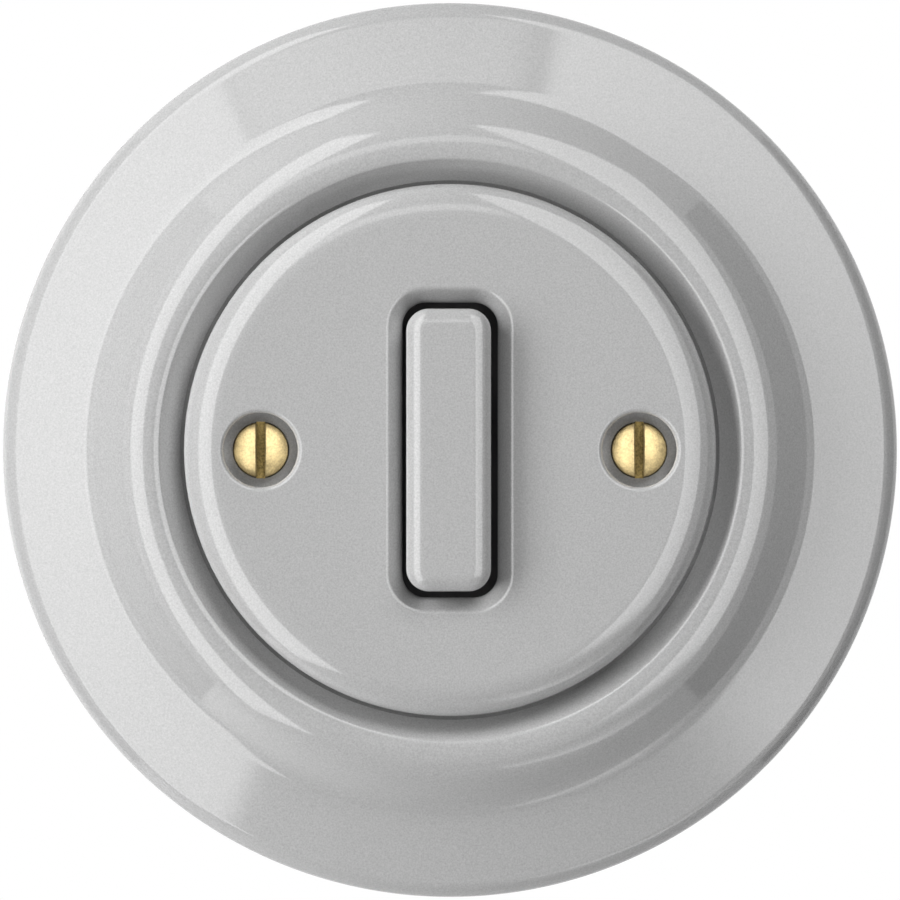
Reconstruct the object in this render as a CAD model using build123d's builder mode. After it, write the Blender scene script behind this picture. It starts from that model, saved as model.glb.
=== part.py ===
from build123d import *
from math import cos, radians, sin, tan
import os

# Porcelain button switch for a flush wall box, in millimetres.
# The wall is the plane Y = 0, the room is on the -Y side and Z is up.
# A height, h, is a distance out from the wall, so it is -Y. Behind the wall it is negative.
# The origin is the middle of the wall face.

# Outer frame
FRAME_R = 50.0
RIM_WALL_H = 4.0
RIM_ROUND_R = 2.2
FLANGE_SLOPE = 12.5
COVE_R = 5.2
COVE_SLOPE = 40.0
COVE_RUN = 1.4
CREST_OUTER_R = 6.2
CREST_BROW_R = 6.4
CREST_BROW_SLOPE = 12.0
CREST_INNER_R = 0.6
CREST_INNER_SLOPE = 55.0
CREST_INNER_RUN = 1.75
LEDGE_H = 7.5
LEDGE_WALL = 3.0
LEDGE_W = 3.0
FOOT_W = 6.0
FOOT_CHAMFER = 0.5
FRAME_WALL = 4.6
CREST_WALL = 6.2
HOLLOW_TOP_W = 4.0
HOLLOW_ROUND_R = 1.5

# Cover disc
COVER_R = 29.55
COVER_T = 6.0
VALLEY_GAP = 0.45
COVER_EDGE_R = 2.5
COVER_SHOULDER_R = 9.0
COVER_SHOULDER_SLOPE = 25.0
COVER_WALL = 4.0
SPIGOT_T = 3.0
SPIGOT_DEPTH = 2.5
SPIGOT_CLEARANCE = 0.25
POCKET_ROUND_R = 1.5
KEY_SIDE_GAP = 0.575
KEY_END_GAP = 0.7
OPENING_CORNER_R = 2.6
OPENING_EDGE_R = 1.9
OPENING_WALL = 2.0
OPENING_DEPTH = 5.5
BOSS_R = 5.2
BOSS_RECESS = 0.2
BOSS_GAP = 0.4

# Cover screws and their pillars
SCREW_SPACING = 42.0
SCREW_SHANK_R = 1.75
SCREW_HEAD_R = 3.15
SCREW_HEAD_EDGE = 0.8
SCREW_HEAD_DOME = 0.9
SCREW_LENGTH = 9.5
SCREW_CLEARANCE = 0.25
SCREW_TIP_CHAMFER = 0.5
SCREW_SLOT_W = 0.95
SCREW_SLOT_DEPTH = 1.0
COUNTERBORE_R = 4.12
COUNTERBORE_DEPTH = 2.6
COUNTERBORE_LIP_R = 0.55
PILLAR_R = 3.2
PILLAR_RIVET_R = 2.6
PILLAR_CHAMFER = 0.4

# Button key
KEY_W = 9.4
KEY_L = 31.3
KEY_STANDS_OUT = 2.5
KEY_T = 6.8
KEY_CORNER_R = 2.5
KEY_EDGE_R = 1.25
KEY_CROWN_R = 4.2
KEY_CROWN_SLOPE = 24.0
KEY_CROWN_STOCK = 1.0
KEY_SIDE_PLAY = -0.15
SOCKET_SIDE_WALL = 2.1
SOCKET_END_WALL = 3.65
SOCKET_DEPTH = 3.6
SOCKET_CORNER_R = 0.5

# Button slide
TRAVEL = 2.2
CONTACT_GAP = 1.4
STEM_FIT = 0.1
STEM_END_GAP = 0.2
STEM_LEAD = 0.35
SLIDE_SIDE_SHOULDER = 0.9
SLIDE_END_SHOULDER = 0.5
SLIDE_SIDE_FLANGE = 1.5
SLIDE_END_FLANGE = 2.5
SLIDE_FLANGE_T = 1.8
SLIDE_CORNER_R = 0.8
GUIDE_CLEARANCE = 0.15
FLANGE_GAP = 0.1
WINDOW_POST_T = 1.4
WINDOW_DEPTH_Z = 3.0
WINDOW_LIP_T = 1.4

# Support plate
PLATE_R = 36.0
PLATE_T = 1.5
PLATE_BACK_H = 0.2
PLATE_OPENING_CORNER_R = 2.0
BOX_SCREW_SPACING = 60.0
BOX_HOLE_R = 2.1
BOX_SLOT_ARC = 16.0

# Housing, guide plate and rear cover
HOUSING_W = 38.0
HOUSING_L = 42.0
HOUSING_D = 21.0
HOUSING_CORNER_R = 4.0
HOUSING_WALL = 1.6
SIDE_POCKET_W = 8.0
SIDE_POCKET_L = 22.0
SIDE_POCKET_FLOOR = 2.0
SIDE_POCKET_CORNER_R = 1.0
SHELF_DEPTH = 11.0
SHELF_T = 3.4
NECK_SIDE_WALL = 3.65
NECK_END_WALL = 1.15
NECK_CLEARANCE = 0.2
GUIDE_PLATE_GAP = 1.8
GUIDE_PLATE_T = 2.5
GUIDE_PLATE_CORNER_R = 4.0
GUIDE_PLATE_EDGE_R = 0.5
REAR_COVER_T = 2.0
REAR_COVER_EDGE_R = 0.8
HOUSING_SCREW_SIDE_EDGE = 3.0
HOUSING_SCREW_END_EDGE = 4.4
HOUSING_SCREW_R = 1.3
HOUSING_SCREW_CLEARANCE = 0.1
HOUSING_SCREW_HEAD_R = 2.4
HOUSING_SCREW_HEAD_EDGE = 0.3
HOUSING_SCREW_HEAD_DOME = 0.9
HOUSING_SCREW_LENGTH = 9.0
HOUSING_SCREW_TIP_GAP = 0.5
HOUSING_SCREW_SLOT_W = 0.7
HOUSING_SCREW_SLOT_DEPTH = 0.6

# Springs
RETURN_SPRING_R = 2.1
RETURN_SPRING_Z = 10.8
RETURN_SPRING_TURNS = 6
RETURN_WIRE_R = 0.28
CONTACT_SPRING_R = 1.7
CONTACT_SPRING_L = 6.2
CONTACT_SPRING_TURNS = 5
CONTACT_WIRE_R = 0.22
SPRING_SEAT_GAP = 0.05
SPRING_POST_R = 1.3
STOP_GAP = 0.05

# Contacts, strips and terminals
CONTACT_Z = 5.6
CONTACT_R = 1.75
CONTACT_T = 0.8
CONTACT_DOME = 0.25
BRIDGE_W = 4.6
BRIDGE_L = 15.0
BRIDGE_T = 0.8
BRIDGE_CORNER_R = 1.0
BRIDGE_GAP = 0.1
BRIDGE_END_GAP = 0.5
STRIP_T = 0.6
STRIP_W = 6.0
STRIP_BEND_R = 0.3
STRIP_INNER_Z = 3.4
TERMINAL_SIDE_EDGE = 8.0
TERMINAL_CLEARANCE = 0.1
STRIP_LEG_W = 4.0
CAGE_SIZE = 6.6
CAGE_WALL = 1.1
CAGE_D = 4.2
CAGE_CORNER_R = 0.8
CAGE_GAP = 0.4
WIRE_ENTRY_R = 1.7
WIRE_ENTRY_CHAMFER = 0.6
TERMINAL_SCREW_R = 1.5
TERMINAL_SCREW_HEAD_R = 2.6
TERMINAL_SCREW_HEAD_EDGE = 0.4
TERMINAL_SCREW_HEAD_DOME = 0.7
TERMINAL_SCREW_SLOT_W = 0.8
TERMINAL_SCREW_SLOT_DEPTH = 0.7
TERMINAL_SCREW_REACH = 3.0
TERMINAL_HEAD_CLEARANCE = 0.3
TERMINAL_HEAD_RECESS = 0.3

# Sizes that follow from the ones above
FRAME_BORE_R = COVER_R + VALLEY_GAP - LEDGE_W
OPENING_W = KEY_W + 2 * KEY_SIDE_GAP
OPENING_L = KEY_L + 2 * KEY_END_GAP
SOCKET_W = KEY_W - 2 * SOCKET_SIDE_WALL
SOCKET_L = KEY_L - 2 * SOCKET_END_WALL
SLIDE_W = SOCKET_W + 2 * SLIDE_SIDE_SHOULDER
SLIDE_L = SOCKET_L + 2 * SLIDE_END_SHOULDER
SLIDE_FLANGE_W = SLIDE_W + 2 * SLIDE_SIDE_FLANGE
SLIDE_FLANGE_L = SLIDE_L + 2 * SLIDE_END_FLANGE
WELL_W = SLIDE_FLANGE_W + 2 * GUIDE_CLEARANCE
WELL_L = SLIDE_FLANGE_L + 2 * GUIDE_CLEARANCE
NECK_W = WELL_W + 2 * NECK_SIDE_WALL
NECK_L = WELL_L + 2 * NECK_END_WALL
PLATE_OPENING_W = NECK_W + 2 * NECK_CLEARANCE
PLATE_OPENING_L = NECK_L + 2 * NECK_CLEARANCE
GUIDE_PLATE_W = SCREW_SPACING - 2 * (PILLAR_R + GUIDE_PLATE_GAP)
HOUSING_SCREW_X = GUIDE_PLATE_W / 2 - HOUSING_SCREW_SIDE_EDGE
HOUSING_SCREW_Z = HOUSING_L / 2 - HOUSING_SCREW_END_EDGE
TERMINAL_X = HOUSING_W / 2 - TERMINAL_SIDE_EDGE
TERMINAL_Z = HOUSING_L / 2 - HOUSING_WALL - TERMINAL_CLEARANCE - CAGE_SIZE / 2

# Heights and radii that follow
COVER_FACE_H = LEDGE_H + COVER_T
VALLEY_R = COVER_R + VALLEY_GAP
SPIGOT_R = FRAME_BORE_R - SPIGOT_CLEARANCE
SPIGOT_END_H = LEDGE_H - SPIGOT_DEPTH
POCKET_H = COVER_FACE_H - COVER_WALL
SCREW_SEAT_H = COVER_FACE_H - COUNTERBORE_DEPTH
BOSS_END_H = SPIGOT_END_H + BOSS_RECESS
PILLAR_TOP_H = BOSS_END_H - BOSS_GAP
KEY_FACE_H = COVER_FACE_H + KEY_STANDS_OUT
KEY_BACK_H = KEY_FACE_H - KEY_T
OPENING_END_H = COVER_FACE_H - OPENING_DEPTH
PLATE_FRONT_H = PLATE_BACK_H + PLATE_T
GUIDE_FRONT_H = PLATE_FRONT_H + GUIDE_PLATE_T
FLANGE_TOP_H = PLATE_FRONT_H - FLANGE_GAP
FLANGE_BACK_H = FLANGE_TOP_H - SLIDE_FLANGE_T
SHELF_H = PLATE_BACK_H - SHELF_DEPTH
STRIP_FRONT_H = SHELF_H - SHELF_T
STRIP_BACK_H = STRIP_FRONT_H - STRIP_T
FIXED_CONTACT_H = STRIP_FRONT_H + CONTACT_T
MOVING_CONTACT_H = FIXED_CONTACT_H + CONTACT_GAP
BRIDGE_BACK_H = MOVING_CONTACT_H + CONTACT_T
BRIDGE_FRONT_H = BRIDGE_BACK_H + BRIDGE_T
WINDOW_TOP_H = BRIDGE_FRONT_H + CONTACT_SPRING_L
WINDOW_LIP_H = BRIDGE_BACK_H - BRIDGE_GAP
HOUSING_BACK_H = PLATE_BACK_H - HOUSING_D
CAGE_BACK_H = STRIP_BACK_H - CAGE_GAP - CAGE_D
TERMINAL_H = CAGE_BACK_H + CAGE_D / 2

PROFILE = Plane(origin=(0, 0, 0), x_dir=(1, 0, 0), z_dir=(0, 0, -1))


def front(h):
    """The sketch plane at height h: its x is +X, its y is +Z and it faces the room."""
    return Plane.XZ.offset(h)


def profile_at(x, z):
    """A half-section plane through the line (x, z): its x is the radius and its y the height."""
    return Plane(origin=(x, 0, z), x_dir=(1, 0, 0), z_dir=(0, 0, -1))


def axis_at(x, z):
    """The line square to the wall through (x, z)."""
    return Axis((x, 0, z), (0, 1, 0))


def ring_edges(part, radius, h):
    """The round edges of that radius about the middle of the switch, at height h."""
    rings = part.edges().filter_by(GeomType.CIRCLE)
    return rings.filter_by(
        lambda e: abs(e.radius - radius) < 0.01
        and abs(e.arc_center.Y + h) < 0.01
        and abs(e.arc_center.X) + abs(e.arc_center.Z) < 0.01
    )


def save(piece, label):
    """Name a finished piece and write its file."""
    piece.label = label
    export_step(piece, f"parts/{label}.step")


def slotted_screw(plane, axis, seat, head_r, edge_h, dome_h, shank_r, length, slot_w, slot_depth):
    """A slotted screw with a domed head. plane's y runs along the screw, out of its head."""
    dome_r = (head_r**2 + dome_h**2) / (2 * dome_h)
    top = seat + edge_h + dome_h
    with BuildPart() as screw:
        with BuildSketch(plane):
            with BuildLine():
                rim = Polyline(
                    (0, seat - length),
                    (shank_r - SCREW_TIP_CHAMFER, seat - length),
                    (shank_r, seat - length + SCREW_TIP_CHAMFER),
                    (shank_r, seat),
                    (head_r, seat),
                    (head_r, seat + edge_h),
                )
                RadiusArc(rim @ 1, (0, top), -dome_r)
                Line((0, top), (0, seat - length))
            make_face()
        revolve(axis=axis)
        slot = Plane(plane.origin + plane.y_dir * top, x_dir=plane.x_dir, z_dir=plane.y_dir)
        with BuildSketch(slot):
            Rectangle(slot_w, 3 * head_r)
        extrude(amount=-slot_depth, mode=Mode.SUBTRACT)
    return screw.part


def coil_spring(x, z, low_h, high_h, mean_r, wire_r, turns):
    """A compression spring square to the wall, between two heights."""
    rise = high_h - low_h - 2 * wire_r
    with BuildPart() as spring:
        with BuildLine() as coil:
            Helix(rise / turns, rise, mean_r, center=(x, -low_h - wire_r, z), direction=(0, -1, 0))
        with BuildSketch(Plane(coil.line @ 0, z_dir=coil.line % 0)):
            Circle(wire_r)
        sweep()
    return spring.part


os.makedirs("parts", exist_ok=True)

# Outer frame: rim, sloping flange, cove and crest in one turned section, with a hollow back
brow_run = CREST_BROW_R * sin(radians(CREST_BROW_SLOPE))
inner_turn = sin(radians(CREST_INNER_SLOPE)) - sin(radians(CREST_BROW_SLOPE))
crest_in_run = brow_run + CREST_INNER_R * inner_turn
crest_out_run = CREST_OUTER_R * sin(radians(COVE_SLOPE))
cove_run = COVE_R * (sin(radians(COVE_SLOPE)) - sin(radians(FLANGE_SLOPE)))
crest_r = VALLEY_R + CREST_INNER_RUN + crest_in_run
cove_start_r = crest_r + crest_out_run + COVE_RUN + cove_run
rim_end_r = FRAME_R - RIM_ROUND_R * (1 - sin(radians(FLANGE_SLOPE)))
rim_end_h = RIM_WALL_H + RIM_ROUND_R * cos(radians(FLANGE_SLOPE))
cove_start_h = rim_end_h + (rim_end_r - cove_start_r) * tan(radians(FLANGE_SLOPE))
steep_rise = COVE_RUN * tan(radians(COVE_SLOPE))
cove_rise = COVE_R * (cos(radians(FLANGE_SLOPE)) - cos(radians(COVE_SLOPE))) + steep_rise
crest_h = cove_start_h + cove_rise + CREST_OUTER_R * (1 - cos(radians(COVE_SLOPE)))
hollow_outer_r = FRAME_R - FOOT_W
underside_h = LEDGE_H - LEDGE_WALL
hollow_outer_h = rim_end_h + (rim_end_r - hollow_outer_r) * tan(radians(FLANGE_SLOPE)) - FRAME_WALL
hollow_top_h = crest_h - CREST_WALL
hollow_knee_r = crest_r + HOLLOW_TOP_W

with BuildPart() as outer_frame:
    with BuildSketch(PROFILE):
        with BuildLine():
            rim = Line((FRAME_R, 0), (FRAME_R, RIM_WALL_H))
            rim_round = JernArc(rim @ 1, rim % 1, RIM_ROUND_R, 90 - FLANGE_SLOPE)
            flange = Line(rim_round @ 1, (cove_start_r, cove_start_h))
            cove = JernArc(flange @ 1, flange % 1, COVE_R, FLANGE_SLOPE - COVE_SLOPE)
            steep = Line(cove @ 1, cove @ 1 + Vector(-COVE_RUN, steep_rise))
            crest_out = JernArc(steep @ 1, steep % 1, CREST_OUTER_R, COVE_SLOPE)
            brow = JernArc(crest_out @ 1, crest_out % 1, CREST_BROW_R, CREST_BROW_SLOPE)
            inner_turn_angle = CREST_INNER_SLOPE - CREST_BROW_SLOPE
            crest_in = JernArc(brow @ 1, brow % 1, CREST_INNER_R, inner_turn_angle)
            inner_end_h = (crest_in @ 1).Y - CREST_INNER_RUN * tan(radians(CREST_INNER_SLOPE))
            Polyline(
                crest_in @ 1,
                (VALLEY_R, inner_end_h),
                (VALLEY_R, LEDGE_H),
                (FRAME_BORE_R, LEDGE_H),
                (FRAME_BORE_R, underside_h),
                (VALLEY_R, underside_h),
                (crest_r, hollow_top_h),
                (hollow_knee_r, hollow_top_h),
                (hollow_outer_r, hollow_outer_h),
                (hollow_outer_r, 0),
                (FRAME_R, 0),
            )
        make_face()
    revolve(axis=Axis.Y)
    fillet(ring_edges(outer_frame.part, hollow_knee_r, hollow_top_h), HOLLOW_ROUND_R)
    fillet(ring_edges(outer_frame.part, hollow_outer_r, hollow_outer_h), HOLLOW_ROUND_R)
    chamfer(ring_edges(outer_frame.part, FRAME_R, 0), FOOT_CHAMFER)
save(outer_frame.part, "outer_frame")

# Cover disc: a thick glazed shell with a spigot in the frame, two screw bosses and the opening
shoulder_drop = COVER_SHOULDER_R * (1 - cos(radians(COVER_SHOULDER_SLOPE)))
edge_start_h = COVER_FACE_H - shoulder_drop - COVER_EDGE_R * cos(radians(COVER_SHOULDER_SLOPE))
spigot_inner_r = SPIGOT_R - SPIGOT_T

with BuildPart() as cover_disc:
    with BuildSketch(PROFILE):
        with BuildLine():
            side = Line((COVER_R, LEDGE_H), (COVER_R, edge_start_h))
            edge = JernArc(side @ 1, side % 1, COVER_EDGE_R, 90 - COVER_SHOULDER_SLOPE)
            shoulder = JernArc(edge @ 1, edge % 1, COVER_SHOULDER_R, COVER_SHOULDER_SLOPE)
            Polyline(
                shoulder @ 1,
                (0, COVER_FACE_H),
                (0, POCKET_H),
                (spigot_inner_r, POCKET_H),
                (spigot_inner_r, SPIGOT_END_H),
                (SPIGOT_R, SPIGOT_END_H),
                (SPIGOT_R, LEDGE_H),
                (COVER_R, LEDGE_H),
            )
        make_face()
    revolve(axis=Axis.Y)
    fillet(ring_edges(cover_disc.part, spigot_inner_r, POCKET_H), POCKET_ROUND_R)
    with BuildSketch(front(BOSS_END_H)):
        with GridLocations(SCREW_SPACING, 0, 2, 1):
            Circle(BOSS_R)
    extrude(amount=POCKET_H - BOSS_END_H)
    with BuildSketch(front(OPENING_END_H)):
        wall_r = OPENING_CORNER_R + OPENING_WALL
        RectangleRounded(OPENING_W + 2 * OPENING_WALL, OPENING_L + 2 * OPENING_WALL, wall_r)
    extrude(amount=POCKET_H - OPENING_END_H)
    with BuildSketch(front(COVER_FACE_H)):
        RectangleRounded(OPENING_W, OPENING_L, OPENING_CORNER_R)
    extrude(amount=OPENING_END_H - COVER_FACE_H, mode=Mode.SUBTRACT)
    face_edges = cover_disc.edges().group_by(Axis.Y)[0]
    fillet(face_edges.filter_by(lambda e: abs((e @ 0).X) < OPENING_L / 2), OPENING_EDGE_R)
    with Locations(front(COVER_FACE_H)):
        with GridLocations(SCREW_SPACING, 0, 2, 1):
            CounterBoreHole(SCREW_SHANK_R + SCREW_CLEARANCE, COUNTERBORE_R, COUNTERBORE_DEPTH)
    mouths = cover_disc.edges().group_by(Axis.Y)[0].filter_by(GeomType.CIRCLE)
    fillet(mouths.filter_by(lambda e: abs(e.radius - COUNTERBORE_R) < 0.01), COUNTERBORE_LIP_R)
save(cover_disc.part, "cover_disc")

# Button key: a bar with a crowned rim swept round its front, and a socket in its back
key_plane = front(KEY_BACK_H).shift_origin((KEY_SIDE_PLAY, -KEY_BACK_H, 0))
crown_out_run = KEY_CROWN_R * sin(radians(KEY_CROWN_SLOPE))
crown_run = crown_out_run + KEY_EDGE_R * (1 - sin(radians(KEY_CROWN_SLOPE)))

with BuildPart() as button_key:
    with BuildSketch(key_plane):
        RectangleRounded(KEY_W, KEY_L, KEY_CORNER_R)
    extrude(amount=KEY_T)
    key_face = button_key.faces().sort_by(Axis.Y)[0]
    outline = key_face.outer_wire()
    outward = (outline % 0).cross(key_face.normal_at())
    rim_section = Plane(outline @ 0, x_dir=outward, z_dir=outward.cross(key_face.normal_at()))
    with BuildSketch(rim_section):
        with BuildLine():
            crown = JernArc((-crown_run, 0), (1, 0), KEY_CROWN_R, -KEY_CROWN_SLOPE)
            key_edge = JernArc(crown @ 1, crown % 1, KEY_EDGE_R, KEY_CROWN_SLOPE - 90)
            Polyline(
                key_edge @ 1,
                (KEY_CROWN_STOCK, (key_edge @ 1).Y),
                (KEY_CROWN_STOCK, KEY_CROWN_STOCK),
                (-crown_run, KEY_CROWN_STOCK),
                (-crown_run, 0),
            )
        make_face()
    sweep(path=outline, mode=Mode.SUBTRACT)
    with BuildSketch(key_plane):
        RectangleRounded(SOCKET_W, SOCKET_L, SOCKET_CORNER_R)
    extrude(amount=SOCKET_DEPTH, mode=Mode.SUBTRACT)
save(button_key.part, "button_key")

# Cover screws, each with its slot upright
for side_name, side_x in (("left", -SCREW_SPACING / 2), ("right", SCREW_SPACING / 2)):
    cover_screw = slotted_screw(
        profile_at(side_x, 0),
        axis_at(side_x, 0),
        SCREW_SEAT_H,
        SCREW_HEAD_R,
        SCREW_HEAD_EDGE,
        SCREW_HEAD_DOME,
        SCREW_SHANK_R,
        SCREW_LENGTH,
        SCREW_SLOT_W,
        SCREW_SLOT_DEPTH,
    )
    save(cover_screw, f"cover_screw_{side_name}")

# Pillars: brass, riveted in the support plate, each tapped through for its cover screw
for side_name, side_x in (("left", -SCREW_SPACING / 2), ("right", SCREW_SPACING / 2)):
    with BuildPart() as pillar:
        with BuildSketch(profile_at(side_x, 0)):
            Polygon(
                (SCREW_SHANK_R, PLATE_BACK_H),
                (PILLAR_RIVET_R, PLATE_BACK_H),
                (PILLAR_RIVET_R, PLATE_FRONT_H),
                (PILLAR_R, PLATE_FRONT_H),
                (PILLAR_R, PILLAR_TOP_H - PILLAR_CHAMFER),
                (PILLAR_R - PILLAR_CHAMFER, PILLAR_TOP_H),
                (SCREW_SHANK_R, PILLAR_TOP_H),
                align=None,
            )
        revolve(axis=axis_at(side_x, 0))
    save(pillar.part, f"pillar_{side_name}")

# Support plate: round sheet with the mechanism's opening, two plain holes and two arc slots
with BuildPart() as support_plate:
    with BuildSketch(front(PLATE_BACK_H)):
        Circle(PLATE_R)
        RectangleRounded(
            PLATE_OPENING_W,
            PLATE_OPENING_L,
            PLATE_OPENING_CORNER_R,
            mode=Mode.SUBTRACT,
        )
        with GridLocations(0, BOX_SCREW_SPACING, 1, 2):
            Circle(BOX_HOLE_R, mode=Mode.SUBTRACT)
        for start in (-BOX_SLOT_ARC / 2, 180 - BOX_SLOT_ARC / 2):
            with BuildLine():
                slot_line = CenterArc((0, 0), BOX_SCREW_SPACING / 2, start, BOX_SLOT_ARC)
            SlotArc(slot_line, 2 * BOX_HOLE_R, mode=Mode.SUBTRACT)
        with GridLocations(SCREW_SPACING, 0, 2, 1):
            Circle(PILLAR_RIVET_R, mode=Mode.SUBTRACT)
        with GridLocations(2 * HOUSING_SCREW_X, 2 * HOUSING_SCREW_Z, 2, 2):
            Circle(HOUSING_SCREW_R + HOUSING_SCREW_CLEARANCE, mode=Mode.SUBTRACT)
    extrude(amount=PLATE_T)
save(support_plate.part, "support_plate")

# Housing: a deep moulded box behind the plate, with a neck through it, a guide well for the
# slide, a shelf that carries the springs and a terminal chamber open at the back
guide_corner_r = SLIDE_CORNER_R + GUIDE_CLEARANCE
chamber_w = HOUSING_W - 2 * HOUSING_WALL
chamber_l = HOUSING_L - 2 * HOUSING_WALL

with BuildPart() as mechanism_housing:
    with BuildSketch(front(HOUSING_BACK_H)):
        RectangleRounded(HOUSING_W, HOUSING_L, HOUSING_CORNER_R)
    extrude(amount=HOUSING_D)
    with BuildSketch(front(PLATE_BACK_H)):
        RectangleRounded(NECK_W, NECK_L, PLATE_OPENING_CORNER_R - NECK_CLEARANCE)
    extrude(amount=PLATE_T)
    with BuildSketch(front(PLATE_FRONT_H)):
        RectangleRounded(WELL_W, WELL_L, guide_corner_r)
    extrude(amount=SHELF_H - PLATE_FRONT_H, mode=Mode.SUBTRACT)
    with BuildSketch(front(SHELF_H)):
        Rectangle(WELL_W, BRIDGE_L + 2 * BRIDGE_END_GAP)
    extrude(amount=-SHELF_T, mode=Mode.SUBTRACT)
    with BuildSketch(front(SHELF_H)):
        with GridLocations(0, 2 * RETURN_SPRING_Z, 1, 2):
            Circle(SPRING_POST_R)
    extrude(amount=FLANGE_BACK_H - TRAVEL - STOP_GAP - SHELF_H)
    with BuildSketch(front(HOUSING_BACK_H)):
        RectangleRounded(chamber_w, chamber_l, HOUSING_CORNER_R - HOUSING_WALL)
    extrude(amount=STRIP_FRONT_H - HOUSING_BACK_H, mode=Mode.SUBTRACT)
    with BuildSketch(front(STRIP_FRONT_H)):
        with GridLocations(chamber_w - SIDE_POCKET_W, 0, 2, 1):
            RectangleRounded(SIDE_POCKET_W, SIDE_POCKET_L, SIDE_POCKET_CORNER_R)
    extrude(amount=PLATE_BACK_H - SIDE_POCKET_FLOOR - STRIP_FRONT_H, mode=Mode.SUBTRACT)
    with BuildSketch(front(PLATE_BACK_H)):
        with GridLocations(2 * HOUSING_SCREW_X, 2 * HOUSING_SCREW_Z, 2, 2):
            Circle(HOUSING_SCREW_R)
    screw_reach = HOUSING_SCREW_LENGTH - GUIDE_PLATE_T - PLATE_T + HOUSING_SCREW_TIP_GAP
    extrude(amount=-screw_reach, mode=Mode.SUBTRACT)
    for terminal_x in (-TERMINAL_X, TERMINAL_X):
        with BuildSketch(Plane((terminal_x, -TERMINAL_H, -HOUSING_L / 2))):
            Circle(TERMINAL_SCREW_HEAD_R + TERMINAL_HEAD_CLEARANCE)
        extrude(amount=HOUSING_L, mode=Mode.SUBTRACT)
save(mechanism_housing.part, "mechanism_housing")

# Rear cover: closes the terminal chamber, with a funnelled entry for each wire
with BuildPart() as rear_cover:
    with BuildSketch(front(HOUSING_BACK_H - REAR_COVER_T)):
        RectangleRounded(HOUSING_W, HOUSING_L, HOUSING_CORNER_R)
    extrude(amount=REAR_COVER_T)
    fillet(rear_cover.edges().group_by(Axis.Y)[-1], REAR_COVER_EDGE_R)
    with BuildSketch(front(HOUSING_BACK_H)):
        with GridLocations(2 * TERMINAL_X, 2 * TERMINAL_Z, 2, 2):
            Circle(WIRE_ENTRY_R)
    extrude(amount=-REAR_COVER_T, mode=Mode.SUBTRACT)
    entry_rims = rear_cover.edges().group_by(Axis.Y)[-1].filter_by(GeomType.CIRCLE)
    entry_rims = entry_rims.filter_by(lambda e: abs(e.radius - WIRE_ENTRY_R) < 0.01)
    chamfer(entry_rims, WIRE_ENTRY_CHAMFER)
save(rear_cover.part, "rear_cover")

# Guide plate: in front of the support plate, it guides the slide and keeps it in
with BuildPart() as guide_plate:
    with BuildSketch(front(PLATE_FRONT_H)):
        RectangleRounded(GUIDE_PLATE_W, HOUSING_L, GUIDE_PLATE_CORNER_R)
    extrude(amount=GUIDE_PLATE_T)
    fillet(guide_plate.edges().group_by(Axis.Y)[0], GUIDE_PLATE_EDGE_R)
    with BuildSketch(front(PLATE_FRONT_H)):
        guide_w = SLIDE_W + 2 * GUIDE_CLEARANCE
        guide_l = SLIDE_L + 2 * GUIDE_CLEARANCE
        RectangleRounded(guide_w, guide_l, guide_corner_r)
        with GridLocations(2 * HOUSING_SCREW_X, 2 * HOUSING_SCREW_Z, 2, 2):
            Circle(HOUSING_SCREW_R + HOUSING_SCREW_CLEARANCE)
    extrude(amount=GUIDE_PLATE_T, mode=Mode.SUBTRACT)
save(guide_plate.part, "guide_plate")

# Housing screws: four, through guide plate, support plate and housing
housing_screws = []
for screw_x in (-HOUSING_SCREW_X, HOUSING_SCREW_X):
    for screw_z in (-HOUSING_SCREW_Z, HOUSING_SCREW_Z):
        housing_screw = slotted_screw(
            profile_at(screw_x, screw_z),
            axis_at(screw_x, screw_z),
            GUIDE_FRONT_H,
            HOUSING_SCREW_HEAD_R,
            HOUSING_SCREW_HEAD_EDGE,
            HOUSING_SCREW_HEAD_DOME,
            HOUSING_SCREW_R,
            HOUSING_SCREW_LENGTH,
            HOUSING_SCREW_SLOT_W,
            HOUSING_SCREW_SLOT_DEPTH,
        )
        housing_screws.append(housing_screw)
save(Compound(children=housing_screws), "housing_screws")

# Button slide: stem in the key's socket, flange under the guide plate, window for the bridge
window_w = BRIDGE_W + 2 * GUIDE_CLEARANCE
window_frame_w = window_w + 2 * WINDOW_POST_T
lip_back_h = WINDOW_LIP_H - WINDOW_LIP_T

with BuildPart() as button_carrier:
    with BuildSketch(front(FLANGE_BACK_H)):
        RectangleRounded(SLIDE_FLANGE_W, SLIDE_FLANGE_L, SLIDE_CORNER_R)
    extrude(amount=SLIDE_FLANGE_T)
    with BuildSketch(front(FLANGE_TOP_H)):
        RectangleRounded(SLIDE_W, SLIDE_L, SLIDE_CORNER_R)
    extrude(amount=KEY_BACK_H - FLANGE_TOP_H)
    with BuildSketch(key_plane):
        stem_w = SOCKET_W - 2 * STEM_FIT
        stem_l = SOCKET_L - 2 * STEM_FIT
        RectangleRounded(stem_w, stem_l, SOCKET_CORNER_R - STEM_FIT)
    extrude(amount=SOCKET_DEPTH - STEM_END_GAP)
    chamfer(button_carrier.edges().group_by(Axis.Y)[0], STEM_LEAD)
    with BuildSketch(front(lip_back_h)):
        Rectangle(window_frame_w, WINDOW_DEPTH_Z)
    extrude(amount=FLANGE_BACK_H - lip_back_h)
    with BuildSketch(front(WINDOW_LIP_H)):
        Rectangle(window_w, 2 * WINDOW_DEPTH_Z)
    extrude(amount=WINDOW_TOP_H - WINDOW_LIP_H, mode=Mode.SUBTRACT)
save(button_carrier.part, "button_carrier")

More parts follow.
